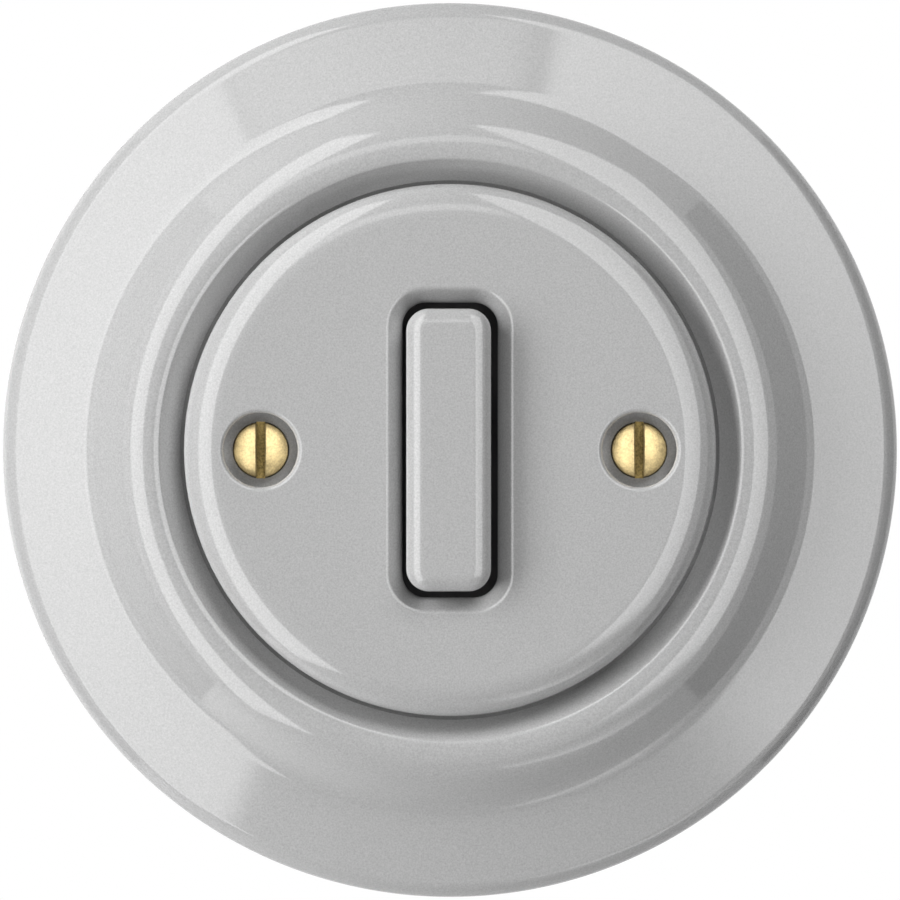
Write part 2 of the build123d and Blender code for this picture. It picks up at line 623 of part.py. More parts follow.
# Return springs, between the slide's flange and the shelf
for end_name, end_z in (("upper", RETURN_SPRING_Z), ("lower", -RETURN_SPRING_Z)):
    return_spring = coil_spring(
        0,
        end_z,
        SHELF_H + SPRING_SEAT_GAP,
        FLANGE_BACK_H - SPRING_SEAT_GAP,
        RETURN_SPRING_R,
        RETURN_WIRE_R,
        RETURN_SPRING_TURNS,
    )
    save(return_spring, f"return_spring_{end_name}")

contact_spring = coil_spring(
    0,
    0,
    BRIDGE_FRONT_H + SPRING_SEAT_GAP,
    WINDOW_TOP_H - SPRING_SEAT_GAP,
    CONTACT_SPRING_R,
    CONTACT_WIRE_R,
    CONTACT_SPRING_TURNS,
)
save(contact_spring, "contact_spring")

# Contact bridge, with a silver button near each end
with BuildPart() as contact_bridge:
    with BuildSketch(front(BRIDGE_BACK_H)):
        RectangleRounded(BRIDGE_W, BRIDGE_L, BRIDGE_CORNER_R)
    extrude(amount=BRIDGE_T)
save(contact_bridge.part, "contact_bridge")


def contact_button(z, seat_h, reach):
    """A round silver contact with a low dome, riveted at seat_h and reaching out by reach."""
    side = reach - CONTACT_DOME * (1 if reach > 0 else -1)
    dome_r = (CONTACT_R**2 + CONTACT_DOME**2) / (2 * CONTACT_DOME)
    with BuildPart() as button:
        with BuildSketch(profile_at(0, z)):
            with BuildLine():
                rivet = Polyline((0, seat_h), (CONTACT_R, seat_h), (CONTACT_R, seat_h + side))
                RadiusArc(rivet @ 1, (0, seat_h + reach), dome_r * (-1 if reach > 0 else 1))
                Line((0, seat_h + reach), (0, seat_h))
            make_face()
        revolve(axis=axis_at(0, z))
    return button.part


for end_name, end_z in (("upper", CONTACT_Z), ("lower", -CONTACT_Z)):
    moving_contact = contact_button(end_z, BRIDGE_BACK_H, -CONTACT_T)
    save(moving_contact, f"moving_contact_{end_name}")
    fixed_contact = contact_button(end_z, STRIP_FRONT_H, CONTACT_T)
    save(fixed_contact, f"fixed_contact_{end_name}")

# Contact strips: flat under the shelf, with a leg bent back into each of two terminals
leg_z = TERMINAL_Z - CAGE_SIZE / 2 + CAGE_WALL + STRIP_T / 2
leg_inner_z = leg_z - STRIP_T / 2
leg_outer_z = leg_z + STRIP_T / 2
bar_end_z = leg_inner_z - STRIP_BEND_R
strip_legs_w = 2 * TERMINAL_X + STRIP_LEG_W

with BuildPart() as contact_strip:
    with BuildSketch(front(STRIP_BACK_H)):
        with Locations((0, (STRIP_INNER_Z + bar_end_z) / 2)):
            Rectangle(STRIP_W, bar_end_z - STRIP_INNER_Z)
        with Locations((0, bar_end_z - STRIP_LEG_W / 2)):
            Rectangle(strip_legs_w, STRIP_LEG_W)
        with Locations((-TERMINAL_X, leg_z), (TERMINAL_X, leg_z)):
            Rectangle(STRIP_LEG_W, STRIP_T)
        with Locations((-TERMINAL_X, bar_end_z), (TERMINAL_X, bar_end_z)):
            Rectangle(STRIP_LEG_W, 2 * STRIP_BEND_R)
    extrude(amount=STRIP_T)
    with BuildSketch(front(STRIP_BACK_H)):
        with Locations((-TERMINAL_X, leg_z), (TERMINAL_X, leg_z)):
            Rectangle(STRIP_LEG_W, STRIP_T)
    extrude(amount=CAGE_BACK_H - STRIP_BACK_H)
    bends = contact_strip.edges().filter_by(Axis.X)
    inner_bends = bends.filter_by_position(Axis.Z, leg_inner_z, leg_inner_z)
    fillet(inner_bends.filter_by_position(Axis.Y, -STRIP_BACK_H, -STRIP_BACK_H), STRIP_BEND_R)
    outer_bends = contact_strip.edges().filter_by(Axis.X)
    outer_bends = outer_bends.filter_by_position(Axis.Z, leg_outer_z, leg_outer_z)
    outer_bends = outer_bends.filter_by_position(Axis.Y, -STRIP_FRONT_H, -STRIP_FRONT_H)
    fillet(outer_bends, STRIP_BEND_R + STRIP_T)
save(contact_strip.part, "contact_strip_upper")
save(mirror(contact_strip.part, about=Plane.XY), "contact_strip_lower")

# Terminals: a steel cage round each leg, and the screw that clamps the wire in it
cage_opening = CAGE_SIZE - 2 * CAGE_WALL
terminal_head_h = TERMINAL_SCREW_HEAD_EDGE + TERMINAL_SCREW_HEAD_DOME
terminal_seat_z = HOUSING_L / 2 - TERMINAL_HEAD_RECESS - terminal_head_h
terminals = [(end, x) for end in (1, -1) for x in (-TERMINAL_X, TERMINAL_X)]

for number, (end, terminal_x) in enumerate(terminals, start=1):
    with BuildPart() as terminal_cage:
        with BuildSketch(front(CAGE_BACK_H)):
            with Locations((terminal_x, end * TERMINAL_Z)):
                RectangleRounded(CAGE_SIZE, CAGE_SIZE, CAGE_CORNER_R)
                Rectangle(cage_opening, cage_opening, mode=Mode.SUBTRACT)
        extrude(amount=CAGE_D)
        with BuildSketch(Plane((terminal_x, -TERMINAL_H, end * TERMINAL_Z), z_dir=(0, 0, end))):
            Circle(TERMINAL_SCREW_R)
        extrude(amount=CAGE_SIZE, mode=Mode.SUBTRACT)
    save(terminal_cage.part, f"terminal_cage_{number}")
    terminal_screw = slotted_screw(
        Plane((terminal_x, -TERMINAL_H, 0), x_dir=(1, 0, 0), z_dir=(0, -end, 0)),
        Axis((terminal_x, -TERMINAL_H, 0), (0, 0, 1)),
        terminal_seat_z,
        TERMINAL_SCREW_HEAD_R,
        TERMINAL_SCREW_HEAD_EDGE,
        TERMINAL_SCREW_HEAD_DOME,
        TERMINAL_SCREW_R,
        TERMINAL_SCREW_REACH,
        TERMINAL_SCREW_SLOT_W,
        TERMINAL_SCREW_SLOT_DEPTH,
    )
    save(terminal_screw, f"terminal_screw_{number}")
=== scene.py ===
from math import atan2, cos, degrees, hypot, pi, radians, sin, sqrt, tan

import bpy
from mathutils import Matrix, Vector
from mathutils.geometry import delaunay_2d_cdt


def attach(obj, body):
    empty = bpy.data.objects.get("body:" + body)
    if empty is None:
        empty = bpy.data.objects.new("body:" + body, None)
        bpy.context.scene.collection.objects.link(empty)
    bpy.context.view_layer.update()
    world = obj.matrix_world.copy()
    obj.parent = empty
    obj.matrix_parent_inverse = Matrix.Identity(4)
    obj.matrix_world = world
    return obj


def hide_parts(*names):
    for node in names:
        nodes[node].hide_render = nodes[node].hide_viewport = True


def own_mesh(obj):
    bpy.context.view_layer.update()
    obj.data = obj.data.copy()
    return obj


# A round porcelain button switch, seen square on.
# Lengths are millimetres until a mesh is made. The wall is Y = 0, the room is on the -Y side,
# Z is up, and a height h is a distance out from the wall, so it is -Y.

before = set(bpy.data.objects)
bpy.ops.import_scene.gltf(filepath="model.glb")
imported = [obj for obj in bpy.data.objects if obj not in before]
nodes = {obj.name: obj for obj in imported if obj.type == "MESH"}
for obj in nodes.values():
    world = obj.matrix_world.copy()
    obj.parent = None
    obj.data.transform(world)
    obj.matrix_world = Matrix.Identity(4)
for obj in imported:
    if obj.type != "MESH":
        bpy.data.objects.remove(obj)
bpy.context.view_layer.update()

MM = 0.001

# How finely curves are cut: pieces round a circle, degrees to a step of an arc, points to a corner
TURN_SEGMENTS = 288
POCKET_SEGMENTS = 144
COUNTERBORE_SEGMENTS = 96
BORE_SEGMENTS = 64
HEAD_EDGE_SEGMENTS = 60
THREAD_SEGMENTS = 48
SLOT_END_SEGMENTS = 8
ARC_STEP = 3.0
SHOULDER_RINGS = 10
LIP_STEPS = 8
CORNER_POINTS = 10
KEY_CORNER_POINTS = 14
SOCKET_CORNER_POINTS = 5
SAME_POINT = 1e-5

# Outer frame
FRAME_R = 50.0
RIM_WALL_H = 4.0
RIM_ROUND_R = 2.2
FLANGE_SLOPE = 12.5
COVE_R = 5.2
COVE_SLOPE = 40.0
COVE_RUN = 1.4
CREST_OUTER_R = 6.2
CREST_BROW_R = 4.6
CREST_BROW_SLOPE = 12.0
CREST_INNER_R = 0.6
CREST_INNER_SLOPE = 42.0
CREST_R = 33.447
VALLEY_R = 30.0
LEDGE_H = 7.5
FRAME_BORE_R = 27.0
UNDERSIDE_H = 4.5
CREST_WALL = 6.2
CREST_WALL_RUN = 4.0
FLANGE_WALL = 4.6
FOOT_INNER_R = 44.0
FOOT_CHAMFER = 0.5

# Cover disc
COVER_R = 29.55
COVER_FACE_H = 13.5
COVER_EDGE_R = 1.84
COVER_SHOULDER_R = 6.6
COVER_SHOULDER_SLOPE = 25.0
POCKET_H = 9.5
POCKET_ROUND_R = 1.5
SPIGOT_R = 26.75
SPIGOT_INNER_R = 23.75
SPIGOT_END_H = 5.0
OPENING_HALF_W = 5.275
OPENING_HALF_L = 16.35
OPENING_CORNER_R = 2.6
OPENING_EDGE_R = 1.9
OPENING_LEAD_R = 1.0
OPENING_LEAD_SLOPE = 32.0
OPENING_WALL = 2.0
OPENING_END_H = 8.0
SCREW_X = 21.0
BOSS_R = 5.2
BOSS_END_H = 5.2
SCREW_BORE_R = 2.0
SCREW_SEAT_H = 10.9
COUNTERBORE_R = 4.12
COUNTERBORE_LIP_R = 0.55
LIP_RINGS = (1, 2, 3)
LIP_RING_GAP = 0.25
LIP_CLEARANCE = 0.12
FACE_CLEARANCE = 0.2

# Button key
KEY_X = -0.15
KEY_HALF_W = 4.7
KEY_HALF_L = 15.65
KEY_CORNER_R = 2.5
KEY_EDGE_R = 1.25
KEY_CROWN_R = 3.0
KEY_CROWN_SLOPE = 24.0
KEY_FACE_H = 16.0
KEY_BACK_H = 9.2
SOCKET_HALF_W = 2.6
SOCKET_HALF_L = 12.0
SOCKET_CORNER_R = 0.5
SOCKET_DEPTH = 3.6

# Cover screws
HEAD_R = 3.15
HEAD_EDGE_H = 0.8
HEAD_DOME_H = 0.9
HEAD_ROUND_R = 0.22
HEAD_SLOT_W = 0.95
HEAD_SLOT_DEPTH = 1.0
HEAD_BURR_H = 0.1
HEAD_BURR_W = 0.22
SHANK_R = 1.75
SHANK_LENGTH = 9.5
SHANK_NECK = 0.4
SHANK_TIP = 0.5
THREAD_PITCH = 0.6
THREAD_DEPTH = 0.3
HEAD_COLUMNS = 40
HEAD_ROWS = 24
HEAD_ROW_CROWDING = 1.6

# Springs: mean radius, wire radius, turns, back and front heights
RETURN_SPRING = (2.1, 0.28, 6, -10.75, -0.25)
RETURN_SPRING_Z = 10.8
CONTACT_SPRING = (1.7, 0.22, 5, -10.35, -4.25)
COIL_STEPS = 40
WIRE_POINTS = 14
CLOSED_TURNS = 0.75

# Light, in metres. A glint's corners are directions (across, up) over one ahead, or places
# (x, toward the camera, z). Its fade is the share of the panel, across and along, over which
# its edges fall off to the white room.
AMBIENT = 0.02
PANEL_DISTANCE = 0.8
LEFT_GLINT = [(-0.27, 1.0, -0.71), (-0.47, 0.48, -0.71), (-0.47, 0.48, 1.357), (-0.27, 1.0, 1.357)]
LEFT_GLINT_FADE = (0.12, 0.09)
RIGHT_GLINT = [(0.083, 1.59), (1.20, 1.85), (0.70, -0.66), (0.17, -0.42)]
RIGHT_GLINT_DISTANCE = 0.9
RIGHT_GLINT_FADE = (0.06, 0.11)
UPPER_GLINT = [(-0.34, 0.28), (0.14, 0.28), (0.14, 0.64), (-0.34, 0.64)]
UPPER_GLINT_DISTANCE = 0.95
UPPER_GLINT_FADE = (0.15, 0.3)
REAR_LIGHT = [(-0.6, -0.9, -0.6), (0.6, -0.9, -0.6), (0.6, -0.9, 0.6), (-0.6, -0.9, 0.6)]
CARD_FRONT = 0.55
CARD_BACK = -0.3
CARD_PLACE = 0.9

# Floor and camera, in metres
FLOOR_Z = -0.6
FLOOR_HALF_W = 0.6
FLOOR_FRONT_Y = -1.0
FLOOR_BACK_Y = 0.3
FLOOR_COLOR = (0.85, 0.85, 0.85, 1)
FLOOR_LIFT = 0.45
CAMERA_DISTANCE = 1.004
CAMERA_LENS = 357.6


# Mesh tools

class Skin:
    """The faces of one piece, patch by patch, each vertex with its true normal."""

    def __init__(self):
        self.points = []
        self.normals = []
        self.faces = []
        self.finish = 0
        self.finishes = []

    def patch(self, points, normals, faces):
        """Adds points with normals, and faces that are turned to look along those normals."""
        base = len(self.points)
        self.points += [tuple(p) for p in points]
        self.normals += [tuple(n) for n in normals]
        for face in faces:
            corners = [Vector(points[i]) for i in face]
            middle = sum((Vector(normals[i]) for i in face), Vector())
            across = (corners[1] - corners[0]).cross(corners[2] - corners[0])
            if len(corners) > 3:
                across += (corners[2] - corners[0]).cross(corners[3] - corners[0])
            order = face if across.dot(middle) > 0 else face[::-1]
            self.faces.append(tuple(base + i for i in order))
            self.finishes.append(self.finish)

    def grid(self, rows, normals, closed=True):
        """Rows of equally many points, joined to each other, and round each row where it is closed."""
        count = len(rows[0])
        points = [p for row in rows for p in row]
        flat_normals = [n for row in normals for n in row]
        faces = []
        for i in range(len(rows) - 1):
            for j in range(count if closed else count - 1):
                k = (j + 1) % count
                faces.append((i * count + j, i * count + k, (i + 1) * count + k, (i + 1) * count + j))
        self.patch(points, flat_normals, faces)

    def piece(self, name, *materials):
        """Makes the mesh object, in metres. Each face has the finish that was set when it was added."""
        mesh = bpy.data.meshes.new(name)
        mesh.from_pydata([(x * MM, y * MM, z * MM) for x, y, z in self.points], [], self.faces)
        mesh.polygons.foreach_set("use_smooth", [True] * len(mesh.polygons))
        mesh.polygons.foreach_set("material_index", self.finishes)
        mesh.normals_split_custom_set_from_vertices([Vector(n).normalized() for n in self.normals])
        for material in materials:
            mesh.materials.append(material)
        obj = bpy.data.objects.new(name, mesh)
        bpy.context.scene.collection.objects.link(obj)
        return obj


def section(start, heading, *steps):
    """A smooth chain in a half-section: (length,) is a line and (radius, turn) a tangent arc.
    Gives (r, h, normal r, normal h) with the outside on the right of the heading."""
    r, h = start
    angle = radians(heading)
    chain = [(r, h, sin(angle), -cos(angle))]
    for step in steps:
        if len(step) == 1:
            r, h = r + step[0] * cos(angle), h + step[0] * sin(angle)
            chain.append((r, h, sin(angle), -cos(angle)))
            continue
        radius, turn = step[0], radians(step[1])
        count = max(2, round(abs(step[1]) / ARC_STEP))
        side = 1 if turn > 0 else -1
        centre = (r - side * radius * sin(angle), h + side * radius * cos(angle))
        for i in range(1, count + 1):
            a = angle + turn * i / count
            r, h = centre[0] + side * radius * sin(a), centre[1] - side * radius * cos(a)
            chain.append((r, h, sin(a), -cos(a)))
        angle += turn
    return chain


def corner_line(first, last):
    """A straight, sharp-ended line of a half-section, with the outside on its right."""
    heading = atan2(last[1] - first[1], last[0] - first[0])
    return section(first, degrees(heading), (hypot(last[0] - first[0], last[1] - first[1]),))


def turned(skin, chain, x=0.0, z=0.0, start=0.0, stop=360.0, segments=TURN_SEGMENTS):
    """Turns a chain about the line square to the wall through (x, z)."""
    closed = stop - start >= 360.0
    count = segments if closed else segments + 1
    angles = [radians(start + (stop - start) * i / segments) for i in range(count)]
    rows, normals = [], []
    for r, h, nr, nh in chain:
        rows.append([(x + r * cos(a), -h, z + r * sin(a)) for a in angles])
        normals.append([(nr * cos(a), -nh, nr * sin(a)) for a in angles])
    skin.grid(rows, normals, closed)


def rounded_outline(half_w, half_l, corner_r, x=0.0, corner_points=CORNER_POINTS):
    """Points (x, z) round a rounded rectangle, each with its outward direction."""
    outline = []
    for quadrant, (sx, sz) in enumerate(((1, 1), (-1, 1), (-1, -1), (1, -1))):
        cx, cz = sx * (half_w - corner_r), sz * (half_l - corner_r)
        for i in range(corner_points + 1):
            a = radians(90 * quadrant + 90 * i / corner_points)
            outline.append((x + cx + corner_r * cos(a), cz + corner_r * sin(a), cos(a), sin(a)))
    return outline


def swept_rim(skin, outline, chain):
    """Carries a section round an outline: its r is a distance out from the outline."""
    rows, normals = [], []
    for r, h, nr, nh in chain:
        rows.append([(px + r * nx, -h, pz + r * nz) for px, pz, nx, nz in outline])
        normals.append([(nr * nx, -nh, nr * nz) for _, _, nx, nz in outline])
    skin.grid(rows, normals)


def cut_face(rings, loose, holes):
    """Fills rings of points, with loose points among them, and leaves the holes open.
    Gives all the points and the faces that are kept."""
    points, edges = [], []
    for ring in rings:
        base = len(points)
        points += [Vector(p[:2]) for p in ring]
        edges += [(base + i, base + (i + 1) % len(ring)) for i in range(len(ring))]
    points += [Vector(p) for p in loose]
    found, _, faces, *_ = delaunay_2d_cdt(points, edges, [], 1, SAME_POINT)
    kept = []
    for face in faces:
        x = sum(found[i].x for i in face) / len(face)
        z = sum(found[i].y for i in face) / len(face)
        if not any(inside(x, z, hole) for hole in holes):
            kept.append(tuple(face))
    return found, kept


def flat_face(skin, loop, holes, h, facing):
    """A flat face at height h with holes. facing is 1 towards the room and -1 towards the wall."""
    found, kept = cut_face([loop] + holes, [], holes)
    skin.patch([(p.x, -h, p.y) for p in found], [(0, -facing, 0)] * len(found), kept)


def inside(x, z, ring):
    """Whether (x, z) is inside a closed ring of points."""
    hit = False
    for i in range(len(ring)):
        x1, z1 = ring[i][:2]
        x2, z2 = ring[i - 1][:2]
        if (z1 > z) != (z2 > z) and x < (x2 - x1) * (z - z1) / (z2 - z1) + x1:
            hit = not hit
    return hit


def circle(x, z, radius, count):
    """Points (x, z) round a circle."""
    angles = [2 * pi * i / count for i in range(count)]
    return [(x + radius * cos(a), z + radius * sin(a)) for a in angles]


def turned_corners(skin, corners, x=0.0, segments=TURN_SEGMENTS):
    """Turns the straight lines between corners (r, h) about the line square to the wall at x."""
    for first, last in zip(corners, corners[1:]):
        turned(skin, corner_line(first, last), x, 0, segments=segments)


# Materials

def add_node(tree, kind, **values):
    """A node with its inputs, given by name, or its own settings set."""
    node = tree.nodes.new(kind)
    for name, value in values.items():
        if name in node.inputs:
            node.inputs[name].default_value = value
        else:
            setattr(node, name, value)
    return node


def new_group(name, inputs, outputs):
    """A shader node group with named sockets. inputs are (name, type, default)."""
    group = bpy.data.node_groups.new(name, "ShaderNodeTree")
    for socket_name, kind, default in inputs:
        socket = group.interface.new_socket(socket_name, in_out="INPUT", socket_type=kind)
        socket.default_value = default
    for socket_name, kind in outputs:
        group.interface.new_socket(socket_name, in_out="OUTPUT", socket_type=kind)
    return group, group.nodes.new("NodeGroupInput"), group.nodes.new("NodeGroupOutput")


def shades_group():
    """Two sizes of grain that shade a colour up and down, and a height that goes with them."""
    group, given, out = new_group(
        "shades",
        [
            ("Color", "NodeSocketColor", (0.5, 0.5, 0.5, 1)),
            ("Fine Scale", "NodeSocketFloat", 6000.0),
            ("Fine Amount", "NodeSocketFloat", 0.05),
            ("Broad Scale", "NodeSocketFloat", 400.0),
            ("Broad Amount", "NodeSocketFloat", 0.02),
        ],
        [("Color", "NodeSocketColor"), ("Height", "NodeSocketFloat"), ("Broad", "NodeSocketFloat")],
    )
    place = group.nodes.new("ShaderNodeTexCoord")
    fine = add_node(group, "ShaderNodeTexNoise", Detail=3.0, Roughness=0.6)
    broad = add_node(group, "ShaderNodeTexNoise", Detail=2.0, Roughness=0.5)
    group.links.new(place.outputs["Object"], fine.inputs["Vector"])
    group.links.new(place.outputs["Object"], broad.inputs["Vector"])
    group.links.new(given.outputs["Fine Scale"], fine.inputs["Scale"])
    group.links.new(given.outputs["Broad Scale"], broad.inputs["Scale"])
    levels = []
    for noise, amount in ((fine, "Fine Amount"), (broad, "Broad Amount")):
        centred = add_node(group, "ShaderNodeMath", operation="SUBTRACT")
        centred.inputs[1].default_value = 0.5
        scaled = add_node(group, "ShaderNodeMath", operation="MULTIPLY")
        group.links.new(noise.outputs["Fac"], centred.inputs[0])
        group.links.new(centred.outputs[0], scaled.inputs[0])
        group.links.new(given.outputs[amount], scaled.inputs[1])
        levels.append(scaled)
    both = add_node(group, "ShaderNodeMath", operation="ADD")
    group.links.new(levels[0].outputs[0], both.inputs[0])
    group.links.new(levels[1].outputs[0], both.inputs[1])
    level = add_node(group, "ShaderNodeMath", operation="ADD")
    level.inputs[1].default_value = 1.0
    group.links.new(both.outputs[0], level.inputs[0])
    shaded = add_node(group, "ShaderNodeVectorMath", operation="SCALE")
    group.links.new(given.outputs["Color"], shaded.inputs[0])
    group.links.new(level.outputs[0], shaded.inputs["Scale"])
    group.links.new(shaded.outputs[0], out.inputs["Color"])
    group.links.new(fine.outputs["Fac"], out.inputs["Height"])
    group.links.new(broad.outputs["Fac"], out.inputs["Broad"])
    return group


SHADES = shades_group()


def finish_of(name, color, roughness, metallic=0.0, fine=(6000.0, 0.05), broad=(400.0, 0.02),
              bump=0.0, depth=0.02, rough_spread=0.0, ior=1.5):
    """A finish with its grain, its spread of roughness and its surface texture. fine and broad
    are (scale, amount) of the two grains, and depth is the height of the texture in millimetres."""
    material = bpy.data.materials.new(name)
    material.use_nodes = True
    tree = material.node_tree
    shader = tree.nodes["Principled BSDF"]
    shader.inputs["Metallic"].default_value = metallic
    shader.inputs["Roughness"].default_value = roughness
    shader.inputs["IOR"].default_value = ior
    shades = add_node(tree, "ShaderNodeGroup", node_tree=SHADES)
    shades.inputs["Color"].default_value = (*color, 1)
    shades.inputs["Fine Scale"].default_value, shades.inputs["Fine Amount"].default_value = fine
    shades.inputs["Broad Scale"].default_value, shades.inputs["Broad Amount"].default_value = broad
    tree.links.new(shades.outputs["Color"], shader.inputs["Base Color"])
    if bump:
        relief = add_node(tree, "ShaderNodeBump", Strength=bump, Distance=depth * MM)
        tree.links.new(shades.outputs["Height"], relief.inputs["Height"])
        tree.links.new(relief.outputs["Normal"], shader.inputs["Normal"])
    if rough_spread:
        spread = add_node(tree, "ShaderNodeMapRange")
        spread.inputs["From Min"].default_value = 0.3
        spread.inputs["From Max"].default_value = 0.7
        spread.inputs["To Min"].default_value = max(0.02, roughness - rough_spread)
        spread.inputs["To Max"].default_value = roughness + rough_spread
        tree.links.new(shades.outputs["Broad"], spread.inputs["Value"])
        tree.links.new(spread.outputs["Result"], shader.inputs["Roughness"])
    return material


PORCELAIN = finish_of("porcelain_glaze", (0.425, 0.425, 0.425), 0.06, fine=(5200.0, 0.7),
                      broad=(160.0, 0.02), ior=1.6)
BRASS = finish_of("turned_brass", (0.415, 0.325, 0.165), 0.36, 1.0, fine=(4200.0, 1.3),
                  broad=(700.0, 0.75), bump=0.6, depth=0.02, rough_spread=0.08)
# Slot walls and floor: the brass's dark oxide, darkened further by painted shade in the recess.
SLOT_OXIDE_AND_SHADE = finish_of("slot_oxide_and_painted_shade", (0.11, 0.08, 0.03), 0.5, 1.0, fine=(4200.0, 3.0),
                       broad=(1400.0, 1.2), bump=0.8, depth=0.06, rough_spread=0.1)
CONTACT_BRASS = finish_of("stamped_brass", (0.80, 0.60, 0.30), 0.32, 1.0, fine=(1500.0, 0.1),
                          broad=(300.0, 0.1), bump=0.15, rough_spread=0.06)
SILVER = finish_of("pressed_silver", (0.86, 0.86, 0.84), 0.22, 1.0, fine=(2500.0, 0.05),
                   broad=(600.0, 0.05), bump=0.1, rough_spread=0.05)
SPRING_STEEL = finish_of("drawn_spring_wire", (0.55, 0.55, 0.56), 0.28, 1.0, fine=(4000.0, 0.12),
                         broad=(700.0, 0.1), bump=0.1, rough_spread=0.05)
ZINC = finish_of("zinc_plated_steel", (0.68, 0.69, 0.71), 0.36, 1.0, fine=(900.0, 0.18),
                 broad=(140.0, 0.12), bump=0.2, depth=0.03, rough_spread=0.1)
WHITE_PLASTIC = finish_of("moulded_white", (0.80, 0.79, 0.75), 0.42, fine=(1800.0, 0.05),
                          broad=(120.0, 0.03), bump=0.3, depth=0.02, rough_spread=0.05)
BLACK_PLASTIC = finish_of("moulded_black", (0.045, 0.045, 0.048), 0.46, fine=(1500.0, 0.25),
                          broad=(150.0, 0.12), bump=0.4, depth=0.03, rough_spread=0.06)


# Outer frame

def outer_frame():
    """The frame: rim, flange, cove, crest and inner slope in one chain, and a hollow back."""
    skin = Skin()
    slope = radians(FLANGE_SLOPE)
    inner_slope = radians(CREST_INNER_SLOPE)
    brow_slope = radians(CREST_BROW_SLOPE)
    cove_slope = radians(COVE_SLOPE)
    brow = CREST_BROW_R * sin(brow_slope)
    inner_arc = CREST_INNER_R * (sin(inner_slope) - sin(brow_slope))
    inner_run = (CREST_R - brow - inner_arc - VALLEY_R) / cos(inner_slope)
    cove_start_r = (CREST_R + CREST_OUTER_R * sin(cove_slope) + COVE_RUN
                    + COVE_R * (sin(cove_slope) - sin(slope)))
    rim_end_r = FRAME_R - RIM_ROUND_R * (1 - sin(slope))
    front = section(
        (FRAME_R, FOOT_CHAMFER), 90,
        (RIM_WALL_H - FOOT_CHAMFER,),
        (RIM_ROUND_R, 90 - FLANGE_SLOPE),
        ((rim_end_r - cove_start_r) / cos(slope),),
        (COVE_R, FLANGE_SLOPE - COVE_SLOPE),
        (COVE_RUN / cos(cove_slope),),
        (CREST_OUTER_R, COVE_SLOPE),
        (CREST_BROW_R, CREST_BROW_SLOPE),
        (CREST_INNER_R, CREST_INNER_SLOPE - CREST_BROW_SLOPE),
        (inner_run,),
    )
    turned(skin, front)
    crest_h = max(h for _, h, _, _ in front)
    hollow_top_h = crest_h - CREST_WALL
    rim_end_h = RIM_WALL_H + RIM_ROUND_R * cos(slope)
    hollow_outer_h = rim_end_h + (rim_end_r - FOOT_INNER_R) * tan(slope) - FLANGE_WALL
    turned_corners(skin, [
        (VALLEY_R, front[-1][1]), (VALLEY_R, LEDGE_H), (FRAME_BORE_R, LEDGE_H),
        (FRAME_BORE_R, UNDERSIDE_H), (VALLEY_R, UNDERSIDE_H), (CREST_R, hollow_top_h),
        (CREST_R + CREST_WALL_RUN, hollow_top_h), (FOOT_INNER_R, hollow_outer_h), (FOOT_INNER_R, 0),
        (FRAME_R - FOOT_CHAMFER, 0), (FRAME_R, FOOT_CHAMFER),
    ])
    return skin.piece("glazed_frame", PORCELAIN)


# Cover disc

SHOULDER_END_R = COVER_R - COVER_EDGE_R * (1 - sin(radians(COVER_SHOULDER_SLOPE)))
SHOULDER_START_R = SHOULDER_END_R - COVER_SHOULDER_R * sin(radians(COVER_SHOULDER_SLOPE))
LIP_REACH = COUNTERBORE_R + COUNTERBORE_LIP_R


def cover_height(x, z):
    """The height of the cover's front before anything is cut in it."""
    over = max(0.0, min(hypot(x, z), SHOULDER_END_R) - SHOULDER_START_R)
    return COVER_FACE_H - COVER_SHOULDER_R + sqrt(COVER_SHOULDER_R**2 - over**2)


def cover_normal(x, z):
    """The direction that the front faces there."""
    r = hypot(x, z)
    over = max(0.0, min(r, SHOULDER_END_R) - SHOULDER_START_R) / COVER_SHOULDER_R
    return (over * x / max(r, 1e-9), -sqrt(1 - over**2), over * z / max(r, 1e-9))


def cover_front(skin):
    """The face and shoulder, with the holes for the key and the screws left open."""
    edge_loop = circle(0, 0, SHOULDER_END_R, TURN_SEGMENTS)
    opening = rounded_outline(OPENING_HALF_W + OPENING_EDGE_R, OPENING_HALF_L + OPENING_EDGE_R,
                              OPENING_CORNER_R + OPENING_EDGE_R)
    lips = [circle(x, 0, LIP_REACH, COUNTERBORE_SEGMENTS) for x in (-SCREW_X, SCREW_X)]
    loose = []
    for step in range(SHOULDER_RINGS):
        turn = radians(COVER_SHOULDER_SLOPE * step / SHOULDER_RINGS)
        ring = circle(0, 0, SHOULDER_START_R + COVER_SHOULDER_R * sin(turn), TURN_SEGMENTS)
        loose += [(x, z) for x, z in ring if hypot(abs(x) - SCREW_X, z) > LIP_REACH + LIP_CLEARANCE]
    for number in LIP_RINGS:
        for screw_x in (-SCREW_X, SCREW_X):
            ring = circle(screw_x, 0, LIP_REACH + LIP_RING_GAP * number, COUNTERBORE_SEGMENTS)
            loose += [(x, z) for x, z in ring if hypot(x, z) < SHOULDER_START_R - FACE_CLEARANCE]
    found, kept = cut_face([edge_loop, opening] + lips, loose, [opening] + lips)
    skin.patch(
        [(p.x, -cover_height(p.x, p.y), p.y) for p in found],
        [cover_normal(p.x, p.y) for p in found],
        kept,
    )


